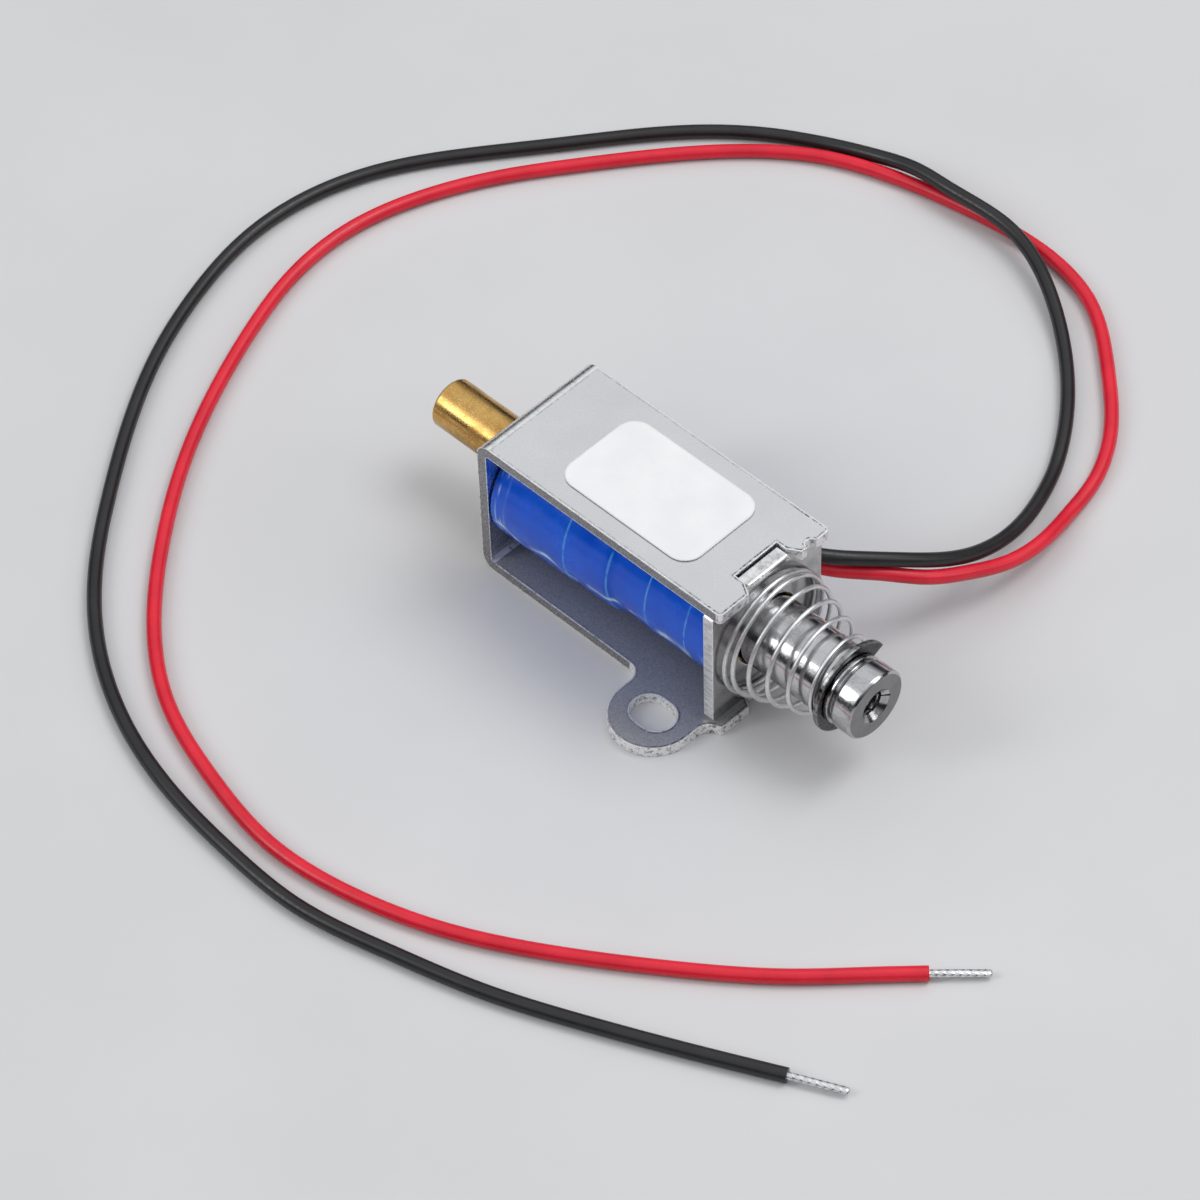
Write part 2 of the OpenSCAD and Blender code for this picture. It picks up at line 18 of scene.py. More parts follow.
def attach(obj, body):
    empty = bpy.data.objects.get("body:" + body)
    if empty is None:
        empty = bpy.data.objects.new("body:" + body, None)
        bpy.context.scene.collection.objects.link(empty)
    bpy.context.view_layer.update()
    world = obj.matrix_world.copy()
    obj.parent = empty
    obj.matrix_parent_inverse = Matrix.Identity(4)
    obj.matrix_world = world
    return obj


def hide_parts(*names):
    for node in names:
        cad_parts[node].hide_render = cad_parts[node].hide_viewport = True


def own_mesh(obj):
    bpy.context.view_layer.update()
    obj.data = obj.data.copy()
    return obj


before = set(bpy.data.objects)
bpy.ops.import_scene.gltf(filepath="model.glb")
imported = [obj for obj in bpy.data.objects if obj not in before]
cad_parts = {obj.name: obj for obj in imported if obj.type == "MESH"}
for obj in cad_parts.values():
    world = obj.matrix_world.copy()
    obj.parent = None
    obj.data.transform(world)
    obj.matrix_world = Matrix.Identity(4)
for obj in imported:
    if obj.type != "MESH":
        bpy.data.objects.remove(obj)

LOG = logging.getLogger("solenoid")
MM = 0.001
AXIS_Z = 8.2 * MM
# How far a wire's cut end stands out, as a share of its radius
END_DOME = 0.12

Colour = tuple[float, float, float]
Point = tuple[float, float, float]
Value = Union["Socket", float, Colour]


# --------------------------------------------------------------------------- sizes


@dataclass(frozen=True)
class View:
    """Where the camera stands and how it is turned."""

    place: Point = (0.20878, -0.20891, 0.34364)
    azimuth: float = 45.93
    elevation: float = 49.235
    roll: float = -1.99
    lens: float = 150.0
    sensor: float = 36.0


@dataclass(frozen=True)
class LeadSize:
    """Sizes of one free lead."""

    outer_r: float = 0.7 * MM
    core_r: float = 0.35 * MM
    tip_length: float = 5.4 * MM
    samples: int = 640


@dataclass(frozen=True)
class SpringSize:
    """Sizes of the conical return spring."""

    wire_r: float = 0.22 * MM
    start_x: float = 14.27 * MM
    length: float = 8.91 * MM
    turns: float = 6.0
    closed: float = 1.25
    pitch: float = 0.48 * MM
    opening: float = 1.35
    big_r: float = 6.2 * MM
    small_r: float = 3.8 * MM
    start_angle: float = 234.0
    plate_x: float = 14.05 * MM
    stroke: float = 6.0 * MM

    @property
    def growth(self) -> float:
        """Rise of the pitch from turn to turn."""
        return (self.length - self.pitch * self.turns) / (self.turns - self.closed) ** self.opening

    @property
    def keep(self) -> float:
        """Share of the length that is left at full stroke."""
        return (self.length - self.stroke) / self.length


@dataclass(frozen=True)
class PlungerSize:
    """Sizes of the turned plunger and its tapped end."""

    radius: float = 3.5 * MM
    back: float = 0.55 * MM
    end: float = 27.0 * MM
    spigot_r: float = 1.5 * MM
    spigot_end: float = 6.55 * MM
    groove: tuple[float, float] = (23.30 * MM, 23.95 * MM)
    groove_r: float = 2.6 * MM
    line: tuple[float, float] = (24.35 * MM, 24.55 * MM)
    line_r: float = 3.0 * MM
    cone_r: float = 3.2 * MM
    head_x: float = 24.98 * MM
    thread_r: float = 1.24 * MM
    thread_depth: float = 0.30 * MM
    thread_pitch: float = 0.5 * MM
    thread_back: float = 20.0 * MM
    sink_r: float = 1.8 * MM


@dataclass(frozen=True)
class CoilSize:
    """Sizes of the taped coil."""

    back: float = -13.68 * MM
    front: float = 12.4 * MM
    back_r: float = 6.88 * MM
    front_r: float = 6.1 * MM
    taper: float = 0.28 * MM
    step_x: float = 0.2 * MM
    lap: float = 0.06 * MM
    tape_w: float = 4.8 * MM
    hub_r: float = 4.47 * MM
    foot_angle: float = 196.0
    sleeve_r: float = 1.0 * MM
    sleeve_x: tuple[float, float] = (1.5 * MM, 9.5 * MM)
    sleeves: tuple[tuple[float, float], ...] = ((6.72 * MM, 9.03 * MM), (6.18 * MM, 10.95 * MM))


class Edge(Enum):
    """How much the edges of a carried-over part are rounded."""

    STAMPED = 0.10 * MM
    TURNED = 0.06 * MM
    CLIP = 0.07 * MM
    SHEET = 0.025 * MM


# --------------------------------------------------------------------------- shader kit


class Socket:
    """A node output that can be used in sums."""

    def __init__(self, book: "Nodes", out: bpy.types.NodeSocket) -> None:
        self.book = book
        self.out = out

    def _math(self, operation: str, other: Value, swap: bool = False) -> "Socket":
        first, second = (other, self) if swap else (self, other)
        return self.book.make("ShaderNodeMath", {0: first, 1: second}, operation=operation)

    def __add__(self, other: Value) -> "Socket":
        return self._math("ADD", other)

    def __rsub__(self, other: Value) -> "Socket":
        return self._math("SUBTRACT", other, swap=True)

    def __mul__(self, other: Value) -> "Socket":
        return self._math("MULTIPLY", other)

    def sine(self) -> "Socket":
        """Sine of the value in radians."""
        return self.book.make("ShaderNodeMath", {0: self}, operation="SINE")

    def fit(self, low: float, high: float, to_low: float = 0.0, to_high: float = 1.0) -> "Socket":
        """Value mapped from one range to another and held there."""
        return self.book.make(
            "ShaderNodeMapRange", {0: self, 1: low, 2: high, 3: to_low, 4: to_high}
        )


class Nodes:
    """Node tree of one material, with the few nodes that these finishes need."""

    def __init__(self, tree: bpy.types.NodeTree) -> None:
        self.tree = tree
        self.tree.nodes.clear()
        self._place: Socket | None = None

    def make(
        self, kind: str, inputs: dict | None = None, out: int | str = 0, **settings: object
    ) -> Socket:
        """Adds one node.

        Args:
            kind: The node's type name.
            inputs: Values or sockets by input name or number.
            out: Name or number of the output that is wanted.
            **settings: Properties set on the node.

        Returns:
            The wanted output.
        """
        made = self.tree.nodes.new(kind)
        for name, value in settings.items():
            setattr(made, name, value)
        for name, value in (inputs or {}).items():
            target = made.inputs[name]
            if isinstance(value, Socket):
                self.tree.links.new(value.out, target)
            elif isinstance(value, tuple) and target.type == "RGBA":
                target.default_value = (*value[:3], 1.0)
            else:
                target.default_value = value
        return Socket(self, made.outputs[out])

    @property
    def place(self) -> Socket:
        """Object coordinates in metres."""
        if self._place is None:
            self._place = self.make("ShaderNodeTexCoord", out="Object")
        return self._place

    def scaled(self, scale: Point) -> Socket:
        """Object coordinates multiplied per axis."""
        return self.make("ShaderNodeMapping", {"Vector": self.place, "Scale": scale})

    def axis(self, index: int) -> Socket:
        """One of the three object coordinates."""
        return self.make("ShaderNodeSeparateXYZ", {0: self.place}, out=index)

    def noise(
        self, scale: float, detail: float = 3.0, rough: float = 0.55, along: Point | None = None
    ) -> Socket:
        """Noise from 0 to 1; scale counts features per metre."""
        where = self.place if along is None else self.scaled(along)
        return self.make(
            "ShaderNodeTexNoise",
            {"Vector": where, "Scale": scale, "Detail": detail, "Roughness": rough},
        )

    def attribute(self, name: str) -> Socket:
        """A number stored on the mesh."""
        return self.make("ShaderNodeAttribute", out="Fac", attribute_name=name)

    def mix(self, share: Value, first: Value, second: Value) -> Socket:
        """Colour mixed from first to second by share."""
        return self.make(
            "ShaderNodeMix", {0: share, 6: first, 7: second}, out=2, data_type="RGBA"
        )

    def bump(self, height: Socket, strength: float, distance: float) -> Socket:
        """Normal bent by a height field; distance is in metres."""
        return self.make(
            "ShaderNodeBump", {"Height": height, "Strength": strength, "Distance": distance}
        )

    def finish(self, **inputs: Value) -> None:
        """Ends the tree in a principled shader with these inputs, underscores for spaces."""
        shader = self.make(
            "ShaderNodeBsdfPrincipled",
            {name.replace("_", " "): value for name, value in inputs.items()},
        )
        out = self.tree.nodes.new("ShaderNodeOutputMaterial")
        self.tree.links.new(shader.out, out.inputs["Surface"])


# --------------------------------------------------------------------------- finishes


@dataclass(frozen=True)
class Finish:
    """A surface finish: its name, its record slot and how its nodes are built."""

    name: str
    slot: str
    build: Callable[[Nodes], None] = field(compare=False)

    def material(self) -> bpy.types.Material:
        """The finish's material, made on first use."""
        found = bpy.data.materials.get(self.name)
        if found is None:
            found = bpy.data.materials.new(self.name)
            found.use_nodes = True
            self.build(Nodes(found.node_tree))
        return found


def _zinc(n: Nodes) -> None:
    grain = n.noise(5200.0, 3.0, 0.7)
    cloud = n.noise(150.0, 4.0, 0.6)
    speck = n.noise(9000.0, 2.0, 0.8)
    rim, cut = n.attribute("rim"), n.attribute("cut")
    # Painted dark reflection: below 2.4 mm the base plate is painted dark grey with specks, and it is
    # also made less metallic and rougher.
    low = n.axis(2).fit(1.0 * MM, 2.4 * MM, 1.0, 0.0)
    colour = n.mix(cloud.fit(0.3, 0.7), (0.74, 0.75, 0.76), (0.80, 0.81, 0.82))
    colour = n.mix(grain.fit(0.35, 0.7) * 0.22, colour, (0.56, 0.56, 0.57))
    painted_dark_base = n.mix(speck.fit(0.38, 0.64), (0.10, 0.10, 0.10), (0.34, 0.34, 0.33))
    colour = n.mix(low * 0.8, colour, painted_dark_base)
    sheared = n.mix(speck.fit(0.4, 0.62), (0.10, 0.10, 0.105), (0.42, 0.42, 0.43))
    colour = n.mix(cut * 0.9, colour, sheared)
    # Painted dark reflection: a broken dark line just inside the rolled edges, stronger towards the
    # front end.
    line = rim.fit(0.12, 0.38) * rim.fit(0.5, 0.72, 1.0, 0.0) * (1.0 - cut)
    broken = n.noise(1900.0, 4.0, 0.75).fit(0.42, 0.56)
    near = n.axis(0).fit(9.0 * MM, 12.5 * MM, 0.35, 1.0)
    colour = n.mix(line * broken * near, colour, (0.05, 0.05, 0.05))
    # Painted highlight: a broken bright line on the rolled edges.
    painted_rim_highlight = rim.fit(0.66, 0.9) * n.noise(2300.0, 3.0, 0.7).fit(0.34, 0.5)
    colour = n.mix(painted_rim_highlight, colour, (0.95, 0.95, 0.95))
    height = grain * 0.5 + speck * 0.35 + cut * speck + rim * n.noise(2600.0, 3.0, 0.7) * 1.6
    n.finish(
        Base_Color=colour,
        Metallic=1.0 - low * 0.55,
        Roughness=grain.fit(0.3, 0.7, 0.20, 0.32) + cut * 0.14 + low * 0.14,
        Normal=n.bump(height, 0.6, 0.016 * MM),
    )


def _plate(n: Nodes) -> None:
    grain = n.noise(4800.0, 3.0, 0.7)
    cloud = n.noise(260.0, 5.0, 0.7)
    speck = n.noise(8200.0, 2.0, 0.8)
    rim, cut = n.attribute("rim"), n.attribute("cut")
    colour = n.mix(cloud.fit(0.35, 0.65), (0.34, 0.34, 0.345), (0.62, 0.62, 0.63))
    colour = n.mix(speck.fit(0.5, 0.64) * 0.5, colour, (0.16, 0.16, 0.16))
    tear = n.noise(3600.0, 3.0, 0.7, (0.3, 0.3, 1.6)).fit(0.35, 0.6)
    sheared = n.mix(tear, (0.55, 0.55, 0.55), (0.94, 0.94, 0.94))
    colour = n.mix(cut, colour, sheared)
    # Painted highlight: a broken bright line on the rounded edges.
    colour = n.mix(rim.fit(0.6, 0.9) * grain.fit(0.35, 0.5), colour, (0.95, 0.95, 0.95))
    n.finish(
        Base_Color=colour,
        Metallic=1.0,
        Roughness=cloud.fit(0.3, 0.7, 0.13, 0.26) + cut * 0.15,
        Normal=n.bump(grain * 0.5 + cloud * 0.8 + cut * speck, 0.5, 0.014 * MM),
    )


def _nickel(n: Nodes) -> None:
    rings = (n.axis(0) * 42000.0).sine() * 0.5 + n.noise(9000.0, 2.0, 0.6, (8.0, 1.0, 1.0))
    wear = n.noise(520.0, 4.0, 0.7, (0.6, 1.0, 1.0)).fit(0.46, 0.62)
    speck = n.noise(6800.0, 2.0, 0.85).fit(0.56, 0.64)
    # Painted dark reflection: the plunger is painted darker towards its underside, and bright specks
    # are strewn mostly over that part.
    painted_dark_underside = n.axis(2).fit(5.2 * MM, 9.4 * MM, 1.0, 0.0)
    colour = n.mix(n.noise(420.0, 3.0), (0.52, 0.52, 0.53), (0.66, 0.66, 0.67))
    colour = n.mix(wear * 0.5, colour, (0.30, 0.295, 0.29))
    colour = n.mix(painted_dark_underside * 0.55, colour, (0.11, 0.11, 0.11))
    colour = n.mix(speck * (painted_dark_underside * 0.7 + wear * 0.4), colour, (0.86, 0.86, 0.86))
    # Painted dark reflection: the flat end face is painted dark grey.
    end = n.axis(0).fit(26.93 * MM, 26.99 * MM)
    colour = n.mix(end * 0.75, colour, (0.14, 0.14, 0.14))
    n.finish(
        Base_Color=colour,
        Metallic=1.0,
        Roughness=n.noise(700.0, 3.0).fit(0.3, 0.7, 0.08, 0.16) + wear * 0.12 + speck * 0.06,
        Normal=n.bump(rings * 0.35 + wear * 0.5 + speck * 0.4, 0.4, 0.007 * MM),
    )


def _spring_steel(n: Nodes) -> None:
    drawn = n.noise(3000.0, 4.0, 0.7)
    colour = n.mix(drawn.fit(0.3, 0.7), (0.66, 0.66, 0.665), (0.88, 0.88, 0.885))
    n.finish(
        Base_Color=colour,
        Metallic=1.0,
        Roughness=drawn.fit(0.3, 0.7, 0.30, 0.44),
        Normal=n.bump(drawn, 0.3, 0.008 * MM),
    )


def _clip_steel(n: Nodes) -> None:
    oxide = n.noise(1800.0, 4.0, 0.65)
    rim = n.attribute("rim")
    colour = n.mix(oxide.fit(0.3, 0.7), (0.03, 0.03, 0.033), (0.10, 0.10, 0.10))
    # Painted highlight: brighter grey along the rounded edges.
    colour = n.mix(rim.fit(0.55, 0.95) * oxide.fit(0.35, 0.6), colour, (0.34, 0.34, 0.34))
    n.finish(
        Base_Color=colour,
        Metallic=1.0,
        Roughness=oxide.fit(0.3, 0.7, 0.22, 0.38),
        Normal=n.bump(oxide, 0.4, 0.01 * MM),
    )


def _brass(n: Nodes) -> None:
    rings = (n.axis(0) * 30000.0).sine() * 0.3 + n.noise(5200.0, 3.0, 0.6, (6.0, 1.0, 1.0))
    tarnish = n.noise(420.0, 5.0, 0.7).fit(0.40, 0.64)
    # Painted dark reflection: the rod is painted darker towards its underside.
    painted_dark_underside = n.axis(2).fit(5.4 * MM, 9.2 * MM, 1.0, 0.0)
    pit = n.noise(5600.0, 2.0, 0.85).fit(0.54, 0.64)
    colour = n.mix(n.noise(240.0, 3.0), (0.60, 0.34, 0.085), (0.78, 0.50, 0.17))
    colour = n.mix(tarnish * 0.6, colour, (0.36, 0.18, 0.04))
    colour = n.mix(painted_dark_underside * 0.5, colour, (0.20, 0.10, 0.025))
    colour = n.mix(pit * 0.5, colour, (0.92, 0.70, 0.36))
    n.finish(
        Base_Color=colour,
        Metallic=1.0,
        Roughness=tarnish.fit(0.0, 1.0, 0.20, 0.36) + pit * 0.05,
        Normal=n.bump(rings * 0.5 + pit * 0.5, 0.4, 0.009 * MM),
    )


def _tape(n: Nodes) -> None:
    lap, painted_glint = n.attribute("lap"), n.attribute("painted_glint")
    cloud = n.noise(300.0, 3.0)
    colour = n.mix(cloud.fit(0.3, 0.7), (0.0, 0.080, 0.62), (0.0, 0.115, 0.78))
    # Painted highlight: thin light cyan lines along the lap edges.
    colour = n.mix(lap.fit(0.55, 0.95) * n.noise(1300.0, 3.0).fit(0.3, 0.5), colour, (0.10, 0.42, 0.95))
    # Painted glint: a pale cyan band along the lower side and pale streaks near the back end.
    colour = n.mix(painted_glint, colour, (0.62, 0.86, 1.0))
    film = n.noise(700.0, 3.0, 0.55, (1.0, 0.6, 0.6)) + n.noise(2600.0, 2.0) * 0.25
    n.finish(
        Base_Color=colour,
        Metallic=0.0,
        Roughness=cloud.fit(0.3, 0.7, 0.18, 0.3),
        Specular_IOR_Level=0.35,
        Coat_Weight=0.12,
        Coat_Roughness=0.05,
        Normal=n.bump(film, 0.3, 0.05 * MM),
    )


def _clear_tape(n: Nodes) -> None:
    weave = n.noise(1500.0, 3.0)
    n.finish(
        Base_Color=n.mix(weave.fit(0.3, 0.7), (0.72, 0.70, 0.62), (0.82, 0.80, 0.74)),
        Roughness=weave.fit(0.3, 0.7, 0.2, 0.35),
        Normal=n.bump(weave, 0.3, 0.02 * MM),
    )


def _nylon(n: Nodes) -> None:
    flow = n.noise(900.0, 4.0, 0.6)
    n.finish(
        Base_Color=n.mix(flow.fit(0.3, 0.7), (0.012, 0.012, 0.014), (0.03, 0.03, 0.033)),
        Roughness=flow.fit(0.3, 0.7, 0.35, 0.5),
        Normal=n.bump(flow, 0.3, 0.015 * MM),
    )


def _rubber(n: Nodes) -> None:
    grain = n.noise(3000.0, 4.0, 0.7)
    n.finish(
        Base_Color=n.mix(grain.fit(0.3, 0.7), (0.01, 0.01, 0.01), (0.028, 0.028, 0.028)),
        Roughness=grain.fit(0.3, 0.7, 0.6, 0.8),
        Normal=n.bump(grain, 0.4, 0.02 * MM),
    )


def _copper(n: Nodes) -> None:
    # Painted shade: the colour is darker in the grooves between the turns, and the same wave bumps the
    # surface.
    turns = (n.axis(0) * 39000.0).sine() * 0.5 + 0.5
    colour = n.mix(n.noise(800.0, 3.0), (0.62, 0.24, 0.10), (0.78, 0.36, 0.17))
    n.finish(
        Base_Color=n.mix(turns * 0.5, colour, (0.22, 0.07, 0.03)),
        Metallic=1.0,
        Roughness=n.noise(1200.0).fit(0.3, 0.7, 0.18, 0.3),
        Coat_Weight=0.4,
        Normal=n.bump(turns, 0.8, 0.05 * MM),
    )


def _label(n: Nodes) -> None:
    fibre = n.noise(2600.0, 5.0, 0.7)
    cloud = n.noise(220.0, 3.0)
    rim = n.attribute("rim")
    colour = n.mix(cloud.fit(0.3, 0.7), (0.78, 0.78, 0.79), (0.85, 0.85, 0.855))
    colour = n.mix(rim.fit(0.5, 1.0) * 0.5, colour, (0.45, 0.45, 0.44))
    n.finish(
        Base_Color=n.mix(fibre.fit(0.45, 0.75) * 0.12, colour, (0.68, 0.68, 0.67)),
        Roughness=fibre.fit(0.3, 0.7, 0.42, 0.56),
        Normal=n.bump(fibre, 0.25, 0.008 * MM),
    )


def _tin(n: Nodes) -> None:
    solder = n.noise(1600.0, 4.0, 0.65)
    colour = n.mix(solder.fit(0.3, 0.7), (0.66, 0.66, 0.67), (0.86, 0.86, 0.87))
    n.finish(
        Base_Color=colour,
        Metallic=1.0,
        Roughness=solder.fit(0.3, 0.7, 0.18, 0.34),
        Normal=n.bump(solder, 0.5, 0.02 * MM),
    )


def _pvc(dark: Colour, light: Colour, rough: tuple[float, float]) -> Callable[[Nodes], None]:
    """Builder of an extruded PVC finish between two colours."""

    def build(n: Nodes) -> None:
        cloud = n.noise(260.0, 4.0, 0.6)
        skin = n.noise(3400.0, 3.0, 0.6)
        scuff = n.noise(900.0, 5.0, 0.7).fit(0.6, 0.75)
        colour = n.mix(cloud.fit(0.3, 0.7), dark, light)
        n.finish(
            Base_Color=colour,
            Roughness=skin.fit(0.3, 0.7, *rough) + scuff * 0.15,
            Normal=n.bump(skin * 0.6 + scuff * 0.4, 0.3, 0.012 * MM),
        )

    return build


def _floor(n: Nodes) -> None:
    cloud = n.noise(30.0, 4.0)
    n.finish(
        Base_Color=n.mix(cloud.fit(0.3, 0.7), (0.60, 0.60, 0.605), (0.63, 0.63, 0.635)),
        Roughness=0.6,
    )


ZINC = Finish("zinc_plate", "zinc", _zinc)
PLATE = Finish("zinc_plate_bright", "zinc", _plate)
NICKEL = Finish("bright_nickel", "steel", _nickel)
SPRING = Finish("spring_wire", "spring_steel", _spring_steel)
CLIP = Finish("black_oxide", "clip_steel", _clip_steel)
BRASS = Finish("turned_brass", "brass", _brass)
COPPER = Finish("enamelled_copper", "copper", _copper)
TAPE = Finish("blue_film_tape", "tape", _tape)
CLEAR_TAPE = Finish("clear_film_tape", "clear_tape", _clear_tape)
NYLON = Finish("moulded_nylon", "nylon", _nylon)
RUBBER = Finish("soft_rubber", "rubber", _rubber)
LABEL = Finish("coated_paper", "label", _label)
TIN = Finish("tinned_strands", "tin", _tin)
SLEEVING = Finish("white_sleeving", "sleeving", _clear_tape)
RED = Finish(
    "red_insulation", "red_pvc", _pvc((0.62, 0.004, 0.022), (0.78, 0.010, 0.034), (0.3, 0.42))
)
BLACK = Finish(
    "black_insulation", "black_pvc", _pvc((0.006, 0.006, 0.007), (0.014, 0.014, 0.015), (0.3, 0.44))
)
FLOOR = Finish("pale_floor", "", _floor)


# --------------------------------------------------------------------------- geometry kit


class Shape:
    """Builds one mesh object at the origin from rings of points and bmesh operations."""

    def __init__(self, name: str) -> None:
        self.name = name
        self.bm = bmesh.new()

    def ring(self, points: Iterable[Sequence[float]]) -> list[bmesh.types.BMVert]:
        """Adds loose vertices and returns them in order."""
        return [self.bm.verts.new(p) for p in points]

    def bridge(
        self, first: list, second: list, closed: bool = True, flip: bool = False
    ) -> None:
        """Joins two rows of vertices of one length by quads."""
        count = len(first)
        for i in range(count if closed else count - 1):
            j = (i + 1) % count
            loop = [first[i], first[j], second[j], second[i]]
            self.bm.faces.new(loop[::-1] if flip else loop)

    def cap(self, ring: list, flip: bool = False) -> None:
        """Closes a ring by one face."""
        self.bm.faces.new(ring[::-1] if flip else ring)

    def fan(self, ring: list, centre: Sequence[float], flip: bool = False) -> None:
        """Closes a ring by triangles round a middle point."""
        middle = self.bm.verts.new(centre)
        for i, vert in enumerate(ring):
            loop = [vert, ring[(i + 1) % len(ring)], middle]
            self.bm.faces.new(loop[::-1] if flip else loop)

    def finish(
        self, finish: Finish, body: str, replaces: Sequence[str] = (), sharp: float = 35.0
    ) -> bpy.types.Object:
        """Turns the mesh into an object that rides on a body.

        Args:
            finish: Its surface finish.
            body: The body it rides on.
            replaces: The CAD nodes it stands for.
            sharp: Angle in degrees above which an edge is shown sharp.

        Returns:
            The new object.
        """
        bmesh.ops.recalc_face_normals(self.bm, faces=self.bm.faces)
        for face in self.bm.faces:
            face.smooth = True
        limit = math.radians(sharp)
        for edge in self.bm.edges:
            if len(edge.link_faces) == 2 and edge.calc_face_angle(0.0) > limit:
                edge.smooth = False
        mesh = bpy.data.meshes.new(self.name)
        self.bm.to_mesh(mesh)
        self.bm.free()
        made = bpy.data.objects.new(self.name, mesh)
        bpy.context.scene.collection.objects.link(made)
        mesh.materials.append(finish.material())
        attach(made, body)
        if replaces:
            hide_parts(*replaces)
        LOG.info("%s: %d faces", self.name, len(mesh.polygons))
        return made


def rounded(outline: Sequence[tuple[float, float]], radius: float, steps: int = 3) -> list:
    """Outline with its inner corners rounded.

    Args:
        outline: Open run of [station, radius] points.
        radius: Corner radius, made smaller where a side is short.
        steps: Points along each corner.

    Returns:
        The new run of points.
    """
    made = [outline[0]]
    for before, corner, after in zip(outline, outline[1:], outline[2:]):
        here = Vector(corner)
        back, ahead = Vector(before) - here, Vector(after) - here
        cut = min(radius, back.length * 0.4, ahead.length * 0.4)
        start, stop = here + back.normalized() * cut, here + ahead.normalized() * cut
        for i in range(steps + 1):
            t = i / steps
            made.append(tuple(start * (1 - t) ** 2 + here * 2 * t * (1 - t) + stop * t**2))
    made.append(outline[-1])
    return made


def spin(shape: Shape, outline: Sequence[tuple[float, float]], sides: int = 96) -> None:
    """Turns an outline of [station, radius] points about the plunger's axis."""
    rings: list = []
    for x, r in outline:
        if r < 1e-6:
            rings.append((x, None))
            continue
        rings.append(
            (
                x,
                shape.ring(
                    (x, r * math.cos(a), AXIS_Z + r * math.sin(a))
                    for a in (2 * math.pi * k / sides for k in range(sides))
                ),
            )
        )
    for (x0, a), (x1, b) in zip(rings, rings[1:]):
        if a is None:
            shape.fan(b, (x0, 0.0, AXIS_Z))
        elif b is None:
            shape.fan(a, (x1, 0.0, AXIS_Z))
        else:
            shape.bridge(a, b)


def sweep(shape: Shape, path: Sequence[Vector], radius: float, sides: int) -> None:
    """Round tube of one radius along a path of points, closed at both ends."""
    rows = []
    up = Vector((1, 0, 0)) if abs((path[1] - path[0]).normalized().x) < 0.9 else Vector((0, 0, 1))
    for i, here in enumerate(path):
        way = (path[min(i + 1, len(path) - 1)] - path[max(i - 1, 0)]).normalized()
        side = way.cross(up).normalized()
        up = side.cross(way).normalized()
        rows.append(
            shape.ring(
                here + radius * (math.cos(a) * up + math.sin(a) * side)
                for a in (2 * math.pi * k / sides for k in range(sides))
            )
        )
    for a, b in zip(rows, rows[1:]):
        shape.bridge(a, b)
    ahead = (path[1] - path[0]).normalized()
    behind = (path[-1] - path[-2]).normalized()
    shape.fan(rows[0], path[0] - ahead * radius * END_DOME)
    shape.fan(rows[-1], path[-1] + behind * radius * END_DOME)


def smooth_line(points: Sequence[Point], samples: int) -> list[Vector]:
    """Smooth curve through points, evenly sampled.

    Args:
        points: The points that it passes.
        samples: How many points are wanted.

    Returns:
        The points, an even distance apart.
    """
    knots = [Vector(p) for p in points]
    count = len(knots)
    span = [max((b - a).length, 1e-9) for a, b in zip(knots, knots[1:])]
    slopes = _natural_slopes(knots, span)
    fine: list[Vector] = []
    for i in range(count - 1):
        h = span[i]
        for k in range(24):
            t = k / 24
            fine.append(
                knots[i] * (2 * t**3 - 3 * t**2 + 1)
                + slopes[i] * h * (t**3 - 2 * t**2 + t)
                + knots[i + 1] * (-2 * t**3 + 3 * t**2)
                + slopes[i + 1] * h * (t**3 - t**2)
            )
    fine.append(knots[-1])
    run = [0.0]
    for a, b in zip(fine, fine[1:]):
        run.append(run[-1] + (b - a).length)
    made, at = [], 0
    for k in range(samples):
        want = run[-1] * k / (samples - 1)
        while at < len(run) - 2 and run[at + 1] < want:
            at += 1
        share = (want - run[at]) / max(run[at + 1] - run[at], 1e-12)
        made.append(fine[at].lerp(fine[at + 1], min(max(share, 0.0), 1.0)))
    return made


def _natural_slopes(knots: list[Vector], span: list[float]) -> list[Vector]:
    """Slopes of the natural cubic through the knots, solved row by row."""
    count = len(knots)
    upper, right = [0.0] * count, [Vector()] * count
    upper[0], right[0] = 0.5, 1.5 * (knots[1] - knots[0]) / span[0]
    for i in range(1, count - 1):
        a, b = 1 / span[i - 1], 1 / span[i]
        load = 3 * ((knots[i] - knots[i - 1]) * a * a + (knots[i + 1] - knots[i]) * b * b)
        pivot = 2 * (a + b) - a * upper[i - 1]
        upper[i], right[i] = b / pivot, (load - a * right[i - 1]) / pivot
    last = 1.5 * (knots[-1] - knots[-2]) / span[-1]
    slopes = [Vector()] * count
    slopes[-1] = (last - 0.5 * right[-2]) / (1 - 0.5 * upper[-2])
    for i in range(count - 2, -1, -1):
        slopes[i] = right[i] - upper[i] * slopes[i + 1]
    return slopes


# --------------------------------------------------------------------------- leads


